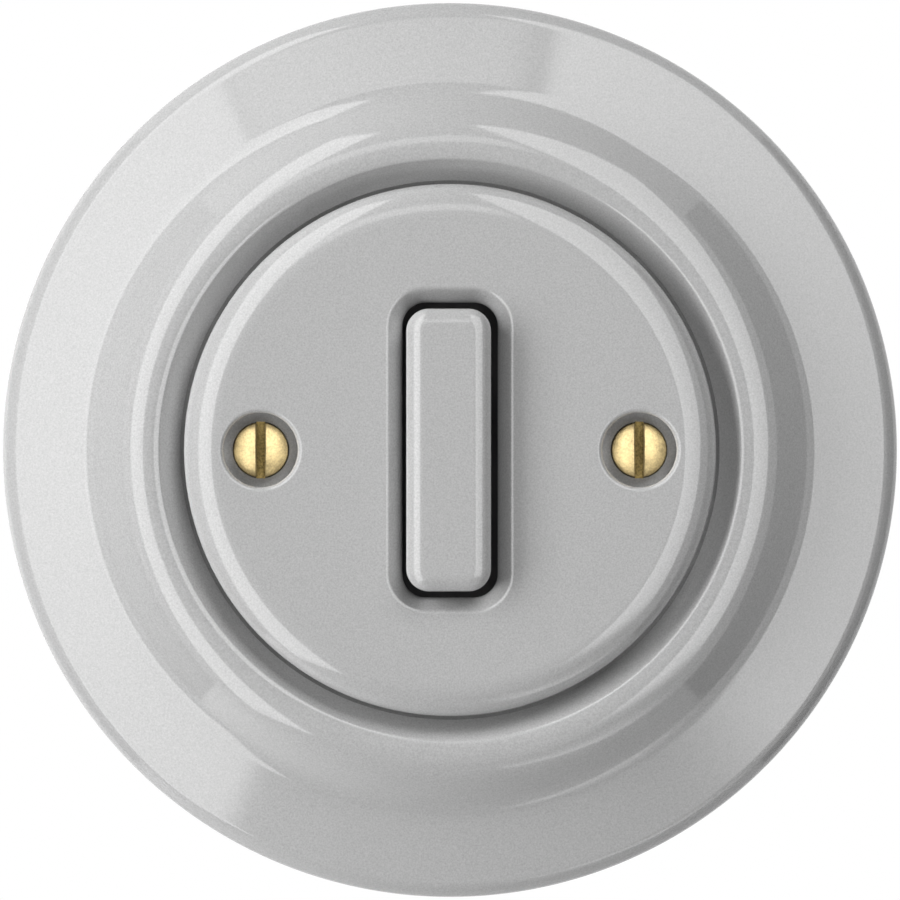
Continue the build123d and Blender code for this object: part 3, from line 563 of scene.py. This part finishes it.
def counterbore(skin, screw_x):
    """The rounded lip, the wall and the floor of one screw's counterbore, and its boss behind."""
    around = circle(0, 0, 1, COUNTERBORE_SEGMENTS)
    rows, normals = [], []
    for i in range(LIP_STEPS + 1):
        turn = radians(90 * i / LIP_STEPS)
        reach = COUNTERBORE_R + COUNTERBORE_LIP_R * (1 - sin(turn))
        drop = COUNTERBORE_LIP_R * (1 - cos(turn))
        row, row_normals = [], []
        for x, z in around:
            px, pz = screw_x + reach * x, reach * z
            top = Vector(cover_normal(px, pz))
            row.append((px, -(cover_height(px, pz) - drop), pz))
            row_normals.append(tuple(cos(turn) * top + sin(turn) * Vector((-x, 0, -z))))
        rows.append(row)
        normals.append(row_normals)
    rows.append([(screw_x + COUNTERBORE_R * x, -SCREW_SEAT_H, COUNTERBORE_R * z) for x, z in around])
    normals.append([(-x, 0, -z) for x, z in around])
    skin.grid(rows, normals)
    seat = [(COUNTERBORE_R, SCREW_SEAT_H), (SCREW_BORE_R, SCREW_SEAT_H)]
    turned_corners(skin, seat, screw_x, COUNTERBORE_SEGMENTS)
    bore_and_boss = [(SCREW_BORE_R, SCREW_SEAT_H), (SCREW_BORE_R, BOSS_END_H), (BOSS_R, BOSS_END_H),
                     (BOSS_R, POCKET_H)]
    turned_corners(skin, bore_and_boss, screw_x, BORE_SEGMENTS)


def cover_disc():
    """The disc: face, shoulder and edge, the key's opening, the counterbores and a hollow back."""
    skin = Skin()
    cover_front(skin)
    edge_start = cover_height(SHOULDER_END_R, 0) - COVER_EDGE_R * cos(radians(COVER_SHOULDER_SLOPE))
    turned(skin, section((COVER_R, LEDGE_H), 90, (edge_start - LEDGE_H,),
                         (COVER_EDGE_R, 90 - COVER_SHOULDER_SLOPE)))
    for screw_x in (-SCREW_X, SCREW_X):
        counterbore(skin, screw_x)
    opening = rounded_outline(OPENING_HALF_W, OPENING_HALF_L, OPENING_CORNER_R)
    lead = radians(OPENING_LEAD_SLOPE)
    lead_drop = OPENING_LEAD_R * (1 - cos(lead))
    flank_r = (OPENING_EDGE_R - OPENING_LEAD_R * sin(lead)) / (1 - sin(lead))
    rim = section((OPENING_EDGE_R, COVER_FACE_H), 180, (OPENING_LEAD_R, OPENING_LEAD_SLOPE),
                  (flank_r, 90 - OPENING_LEAD_SLOPE),
                  (COVER_FACE_H - lead_drop - flank_r * cos(lead) - OPENING_END_H,))
    swept_rim(skin, opening, rim)
    skirt_outer = rounded_outline(OPENING_HALF_W + OPENING_WALL, OPENING_HALF_L + OPENING_WALL,
                                  OPENING_CORNER_R + OPENING_WALL)
    flat_face(skin, skirt_outer, [opening], OPENING_END_H, -1)
    swept_rim(skin, skirt_outer, [(0, OPENING_END_H, 1, 0), (0, POCKET_H, 1, 0)])
    pocket_flat_r = SPIGOT_INNER_R - POCKET_ROUND_R
    flat_face(skin, circle(0, 0, pocket_flat_r, POCKET_SEGMENTS), [skirt_outer], POCKET_H, -1)
    turned(skin, section((pocket_flat_r, POCKET_H), 0, (POCKET_ROUND_R, -90),
                         (POCKET_H - POCKET_ROUND_R - SPIGOT_END_H,)))
    turned_corners(skin, [(SPIGOT_INNER_R, SPIGOT_END_H), (SPIGOT_R, SPIGOT_END_H), (SPIGOT_R, LEDGE_H),
                          (COVER_R, LEDGE_H)])
    return skin.piece("glazed_cover", PORCELAIN)


# Button key

def button_key():
    """The key: a bar with a crowned rim swept round its front, and a socket in its back."""
    skin = Skin()
    slope = radians(KEY_CROWN_SLOPE)
    crown_run = KEY_CROWN_R * sin(slope) + KEY_EDGE_R * (1 - sin(slope))
    edge_drop = KEY_CROWN_R * (1 - cos(slope)) + KEY_EDGE_R * cos(slope)
    outline = rounded_outline(KEY_HALF_W, KEY_HALF_L, KEY_CORNER_R, KEY_X, KEY_CORNER_POINTS)
    rim = section((0, KEY_BACK_H), 90,
                  (KEY_FACE_H - edge_drop - KEY_BACK_H,),
                  (KEY_EDGE_R, 90 - KEY_CROWN_SLOPE),
                  (KEY_CROWN_R, KEY_CROWN_SLOPE))
    swept_rim(skin, outline, rim)
    face = rounded_outline(KEY_HALF_W - crown_run, KEY_HALF_L - crown_run, KEY_CORNER_R - crown_run,
                           KEY_X, KEY_CORNER_POINTS)
    flat_face(skin, face, [], KEY_FACE_H, 1)
    socket = rounded_outline(SOCKET_HALF_W, SOCKET_HALF_L, SOCKET_CORNER_R, KEY_X, SOCKET_CORNER_POINTS)
    flat_face(skin, outline, [socket], KEY_BACK_H, -1)
    swept_rim(skin, socket, [(0, KEY_BACK_H, -1, 0), (0, KEY_BACK_H + SOCKET_DEPTH, -1, 0)])
    flat_face(skin, socket, [], KEY_BACK_H + SOCKET_DEPTH, -1)
    return skin.piece("glazed_key", PORCELAIN)


# Cover screws

DOME_R = (HEAD_R**2 + HEAD_DOME_H**2) / (2 * HEAD_DOME_H)
HEAD_TOP_H = SCREW_SEAT_H + HEAD_EDGE_H + HEAD_DOME_H
SLOT_FLOOR_H = HEAD_TOP_H - HEAD_SLOT_DEPTH


def head_height(x, z):
    """The dome of the head with the burrs that the driver raised along its slot."""
    dome = HEAD_TOP_H - DOME_R + sqrt(DOME_R**2 - x * x - z * z)
    away = (abs(x) - HEAD_SLOT_W / 2) / HEAD_BURR_W
    return dome + HEAD_BURR_H * max(0.0, 1 - away) ** 2


def head_normal(x, z):
    """The direction that the head faces there, from how its height changes close by."""
    step = 0.004
    outward = step if x > 0 else -step
    dx = (head_height(x + outward, z) - head_height(x, z)) / outward
    dz = (head_height(x, z + step) - head_height(x, z - step)) / (2 * step)
    return Vector((-dx, -1, -dz)).normalized()


def half_head(skin, screw_x, side):
    """The dome, the slot's wall and the rounded edge on one side of the slot."""
    cap_r = HEAD_R - HEAD_ROUND_R
    slot_half = HEAD_SLOT_W / 2
    reach = sqrt(cap_r**2 - slot_half**2)
    along = [reach * sin(pi / 2 * (2 * i / HEAD_COLUMNS - 1)) for i in range(HEAD_COLUMNS + 1)]
    rows, normals = [], []
    for j in range(HEAD_ROWS + 1):
        share = (j / HEAD_ROWS) ** HEAD_ROW_CROWDING
        row, row_normals = [], []
        for z in along:
            x = slot_half + (sqrt(max(cap_r**2 - z * z, slot_half**2)) - slot_half) * share
            row.append((screw_x + side * x, -head_height(side * x, z), z))
            row_normals.append(head_normal(side * x, z))
        rows.append(row)
        normals.append(row_normals)
    skin.grid(rows, normals, closed=False)
    wall = [rows[0], [(screw_x + side * slot_half, -SLOT_FLOOR_H, z) for z in along]]
    # The slot's wall takes the oxide and painted shade finish.
    skin.finish = 1
    skin.grid(wall, [[(-side, 0, 0)] * len(along)] * 2, closed=False)
    skin.finish = 0
    middle = 0 if side > 0 else 180
    spread = degrees(atan2(reach, slot_half))
    cap_slope = degrees(atan2(cap_r, sqrt(DOME_R**2 - cap_r**2)))
    rim = section((cap_r, head_height(cap_r, 0)), -cap_slope, (HEAD_ROUND_R, cap_slope - 90))
    rim = [(r, h, -nr, -nh) for r, h, nr, nh in rim]
    rim.append((rim[-1][0], SCREW_SEAT_H, 1, 0))
    turned(skin, rim, screw_x, 0, middle - spread, middle + spread, HEAD_EDGE_SEGMENTS)


def cover_screw(name, screw_x):
    """A raised slotted head on a threaded shank."""
    skin = Skin()
    for side in (-1, 1):
        half_head(skin, screw_x, side)
    slot_half = HEAD_SLOT_W / 2
    slot_floor = [[(screw_x + x, -SLOT_FLOOR_H, z) for z in (-HEAD_R, HEAD_R)]
                  for x in (-slot_half, slot_half)]
    # The slot's floor takes the oxide and painted shade finish.
    skin.finish = 1
    skin.grid(slot_floor, [[(0, -1, 0)] * 2] * 2, closed=False)
    skin.finish = 0
    cap_r = HEAD_R - HEAD_ROUND_R
    gap = degrees(atan2(slot_half, sqrt(cap_r**2 - slot_half**2)))
    for middle in (90, 270):
        rim = [(HEAD_R, SLOT_FLOOR_H, 1, 0), (HEAD_R, SCREW_SEAT_H, 1, 0)]
        turned(skin, rim, screw_x, 0, middle - gap, middle + gap, SLOT_END_SEGMENTS)
    turned_corners(skin, [(SHANK_R, SCREW_SEAT_H), (HEAD_R, SCREW_SEAT_H)], screw_x, BORE_SEGMENTS)
    tip_h = SCREW_SEAT_H - SHANK_LENGTH
    shank = [(SHANK_R, SCREW_SEAT_H)]
    h = SCREW_SEAT_H - SHANK_NECK
    while h > tip_h + SHANK_NECK + SHANK_TIP:
        shank += [(SHANK_R, h), (SHANK_R - THREAD_DEPTH, h - THREAD_PITCH / 2)]
        h -= THREAD_PITCH
    shank += [(SHANK_R, h), (SHANK_R, tip_h + SHANK_TIP), (SHANK_R - SHANK_TIP, tip_h), (0.01, tip_h)]
    for first, last in zip(shank, shank[1:]):
        turned(skin, corner_line(last, first), screw_x, 0, segments=THREAD_SEGMENTS)
    return skin.piece(name, BRASS, SLOT_OXIDE_AND_SHADE)


# Springs

def coil(name, z, spring):
    """A compression spring with closed, ground ends."""
    mean_r, wire_r, turns, back_h, front_h = spring
    steps = turns * COIL_STEPS
    low, high = back_h + wire_r, front_h - wire_r
    closed_share = CLOSED_TURNS / turns
    line = []
    for i in range(steps + 1):
        share = i / steps
        if share < closed_share:
            rise = 0.5 * (share / closed_share) ** 2 * closed_share
        elif share > 1 - closed_share:
            rise = 1 - 0.5 * ((1 - share) / closed_share) ** 2 * closed_share - closed_share
        else:
            rise = share - 0.5 * closed_share
        rise = min(1.0, max(0.0, rise / (1 - closed_share)))
        a = 2 * pi * turns * share
        line.append(Vector((mean_r * cos(a), -(low + (high - low) * rise), z + mean_r * sin(a))))
    rows, normals = [], []
    for i, centre in enumerate(line):
        ahead = (line[min(i + 1, steps)] - line[max(i - 1, 0)]).normalized()
        out = Vector((centre.x, 0, centre.z - z)).normalized()
        up = ahead.cross(out).normalized()
        row_normals = [cos(2 * pi * k / WIRE_POINTS) * out + sin(2 * pi * k / WIRE_POINTS) * up
                       for k in range(WIRE_POINTS)]
        rows.append([tuple(centre + wire_r * n) for n in row_normals])
        normals.append([tuple(n) for n in row_normals])
    skin = Skin()
    skin.grid(rows, normals)
    for end, outward in ((0, line[0] - line[1]), (-1, line[-1] - line[-2])):
        skin.patch(rows[end], [tuple(outward.normalized())] * WIRE_POINTS, [tuple(range(WIRE_POINTS))])
    return skin.piece(name, SPRING_STEEL)


# Build and seat the pieces

frame_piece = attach(outer_frame(), "base")
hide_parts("outer_frame")
cover_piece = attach(cover_disc(), "base")
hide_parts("cover_disc")
key_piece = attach(button_key(), "button")
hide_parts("button_key")

for side, screw_x in (("left", -SCREW_X), ("right", SCREW_X)):
    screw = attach(cover_screw(f"slotted_screw_{side}", screw_x), "base")
    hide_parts(f"cover_screw_{side}")

for end, z in (("upper", RETURN_SPRING_Z), ("lower", -RETURN_SPRING_Z)):
    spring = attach(coil(f"return_coil_{end}", z, RETURN_SPRING), "base")
    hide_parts(f"return_spring_{end}")
    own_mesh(spring)
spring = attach(coil("contact_coil", 0, CONTACT_SPRING), "button")
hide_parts("contact_spring")
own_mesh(spring)

NODE_FINISH = {
    "pillar_left": BRASS, "pillar_right": BRASS, "support_plate": ZINC, "housing_screws": ZINC,
    "mechanism_housing": BLACK_PLASTIC, "rear_cover": BLACK_PLASTIC, "guide_plate": BLACK_PLASTIC,
    "button_carrier": WHITE_PLASTIC, "contact_bridge": CONTACT_BRASS,
    "contact_strip_upper": CONTACT_BRASS, "contact_strip_lower": CONTACT_BRASS,
    "moving_contact_upper": SILVER, "moving_contact_lower": SILVER,
    "fixed_contact_upper": SILVER, "fixed_contact_lower": SILVER,
    **{f"terminal_cage_{i}": ZINC for i in (1, 2, 3, 4)},
    **{f"terminal_screw_{i}": ZINC for i in (1, 2, 3, 4)},
}
for node_name, material in NODE_FINISH.items():
    for slot in nodes[node_name].material_slots:
        slot.material = material


# Floor, light and camera

def edge_fade(mesh, tree, fade, radiance):
    """The panel's strength, from its full level in the middle to white at its edges."""
    layer = mesh.uv_layers.new()
    for loop, place in zip(layer.data, ((0, 0), (1, 0), (1, 1), (0, 1))):
        loop.uv = place
    place = tree.nodes.new("ShaderNodeTexCoord")
    split = tree.nodes.new("ShaderNodeSeparateXYZ")
    tree.links.new(place.outputs["UV"], split.inputs[0])
    masks = []
    for axis, share in zip("XY", fade):
        off = add_node(tree, "ShaderNodeMath", operation="SUBTRACT")
        off.inputs[1].default_value = 0.5
        size = add_node(tree, "ShaderNodeMath", operation="ABSOLUTE")
        ramp = add_node(tree, "ShaderNodeMapRange", interpolation_type="SMOOTHSTEP")
        ramp.inputs["From Min"].default_value = 0.5
        ramp.inputs["From Max"].default_value = 0.5 - share
        tree.links.new(split.outputs[axis], off.inputs[0])
        tree.links.new(off.outputs[0], size.inputs[0])
        tree.links.new(size.outputs[0], ramp.inputs["Value"])
        masks.append(ramp.outputs["Result"])
    both = add_node(tree, "ShaderNodeMath", operation="MULTIPLY")
    tree.links.new(masks[0], both.inputs[0])
    tree.links.new(masks[1], both.inputs[1])
    level = add_node(tree, "ShaderNodeMapRange")
    level.inputs["To Min"].default_value = 1.0
    level.inputs["To Max"].default_value = radiance
    tree.links.new(both.outputs[0], level.inputs["Value"])
    return level.outputs["Result"]


def soft_panel(name, corners, radiance, glints, fade=None):
    """A flat glowing panel. One that glints shows in the glaze and the metal, and one that
    doesn't only gives soft light. None of them shadows another."""
    mesh = bpy.data.meshes.new(name)
    mesh.from_pydata([(x, -d, z) for x, d, z in corners], [], [(0, 1, 2, 3)])
    glow = bpy.data.materials.new(name)
    glow.use_nodes = True
    tree = glow.node_tree
    tree.nodes.remove(tree.nodes["Principled BSDF"])
    light = add_node(tree, "ShaderNodeEmission", Strength=radiance)
    tree.links.new(light.outputs[0], tree.nodes["Material Output"].inputs["Surface"])
    if fade:
        tree.links.new(edge_fade(mesh, tree, fade, radiance), light.inputs["Strength"])
    mesh.materials.append(glow)
    panel = bpy.data.objects.new(name, mesh)
    bpy.context.scene.collection.objects.link(panel)
    panel.visible_camera = False
    panel.visible_glossy = glints
    panel.visible_diffuse = not glints
    panel.visible_shadow = False


def side_panel(name, azimuth, near, far, width, radiance):
    """A soft panel beside the switch, from near to far degrees off the line of sight."""
    out = Vector((cos(radians(azimuth)), 0, sin(radians(azimuth))))
    along = Vector((-sin(radians(azimuth)), 0, cos(radians(azimuth)))) * width / 2
    ahead = Vector((0, 1, 0))
    first, last = (PANEL_DISTANCE * (sin(radians(a)) * out + cos(radians(a)) * ahead)
                   for a in (near, far))
    corners = (first - along, last - along, last + along, first + along)
    soft_panel(name, corners, radiance, False)


def seen_at(directions, distance):
    """Corners of a panel square to the line of sight, from directions (across, up) over one ahead."""
    return [(u * distance, distance, v * distance) for u, v in directions]


def dark_card(name, corners):
    """A black card beside the switch, which only shows in the glaze and the metal."""
    soft_panel(name, corners, 0.0, True)


soft_panel("rear_light", REAR_LIGHT, 2.4, False)
soft_panel("left_glint", LEFT_GLINT, 4.3, True, LEFT_GLINT_FADE)
soft_panel("right_glint", seen_at(RIGHT_GLINT, RIGHT_GLINT_DISTANCE), 3.9, True, RIGHT_GLINT_FADE)
soft_panel("upper_glint", seen_at(UPPER_GLINT, UPPER_GLINT_DISTANCE), 2.6, True, UPPER_GLINT_FADE)
side_panel("left_light", 170, 60, 76, 1.0, 15.2)
side_panel("upper_right_light", 62, 47, 68, 0.5, 8.8)
side_panel("lower_right_light", 300, 40, 60, 0.4, 3.0)
card_corners = [(CARD_FRONT, -1), (CARD_BACK, -1), (CARD_BACK, 1), (CARD_FRONT, 1)]
for side in (-1, 1):
    dark_card("side_card", [(side * CARD_PLACE, d, end * CARD_PLACE) for d, end in card_corners])
dark_card("low_card", [(end * CARD_PLACE, d, -CARD_PLACE) for d, end in card_corners])


def background_rays(tree):
    """1 for the rays that show the background: the camera's, and those off or through a surface."""
    path = tree.nodes.new("ShaderNodeLightPath")
    direct = add_node(tree, "ShaderNodeMath", operation="MAXIMUM")
    seen = add_node(tree, "ShaderNodeMath", operation="MAXIMUM")
    tree.links.new(path.outputs["Is Camera Ray"], direct.inputs[0])
    tree.links.new(path.outputs["Is Glossy Ray"], direct.inputs[1])
    tree.links.new(direct.outputs[0], seen.inputs[0])
    tree.links.new(path.outputs["Is Transmission Ray"], seen.inputs[1])
    return seen.outputs[0]


def pale_floor():
    """A pale floor below the picture, lifted to white where it shows."""
    mesh = bpy.data.meshes.new("floor")
    corners = ((-FLOOR_HALF_W, FLOOR_FRONT_Y), (FLOOR_HALF_W, FLOOR_FRONT_Y),
               (FLOOR_HALF_W, FLOOR_BACK_Y), (-FLOOR_HALF_W, FLOOR_BACK_Y))
    mesh.from_pydata([(x, y, FLOOR_Z) for x, y in corners], [], [(0, 1, 2, 3)])
    plain = bpy.data.materials.new("pale_floor")
    plain.use_nodes = True
    tree = plain.node_tree
    shader = tree.nodes["Principled BSDF"]
    shader.inputs["Base Color"].default_value = FLOOR_COLOR
    shader.inputs["Roughness"].default_value = 0.9
    lift = add_node(tree, "ShaderNodeMath", operation="MULTIPLY")
    lift.inputs[1].default_value = FLOOR_LIFT
    tree.links.new(background_rays(tree), lift.inputs[0])
    tree.links.new(lift.outputs[0], shader.inputs["Emission Strength"])
    shader.inputs["Emission Color"].default_value = (1, 1, 1, 1)
    mesh.materials.append(plain)
    floor = bpy.data.objects.new("floor", mesh)
    bpy.context.scene.collection.objects.link(floor)


pale_floor()

world = bpy.data.worlds.new("pale_room")
bpy.context.scene.world = world
world.use_nodes = True
sky = world.node_tree
background = sky.nodes["Background"]
strength = add_node(sky, "ShaderNodeMapRange")
strength.inputs["To Min"].default_value = AMBIENT
strength.inputs["To Max"].default_value = 1.0
sky.links.new(background_rays(sky), strength.inputs["Value"])
sky.links.new(strength.outputs["Result"], background.inputs["Strength"])
background.inputs["Color"].default_value = (1, 1, 1, 1)

camera_data = bpy.data.cameras.new("camera")
camera_data.sensor_width = 36.0
camera_data.lens = CAMERA_LENS
camera_data.clip_start = 0.01
camera = bpy.data.objects.new("camera", camera_data)
camera.location = (0, -CAMERA_DISTANCE, 0)
camera.rotation_euler = (radians(90), 0, 0)
bpy.context.scene.collection.objects.link(camera)
bpy.context.scene.camera = camera
bpy.context.scene.view_settings.view_transform = "Standard"
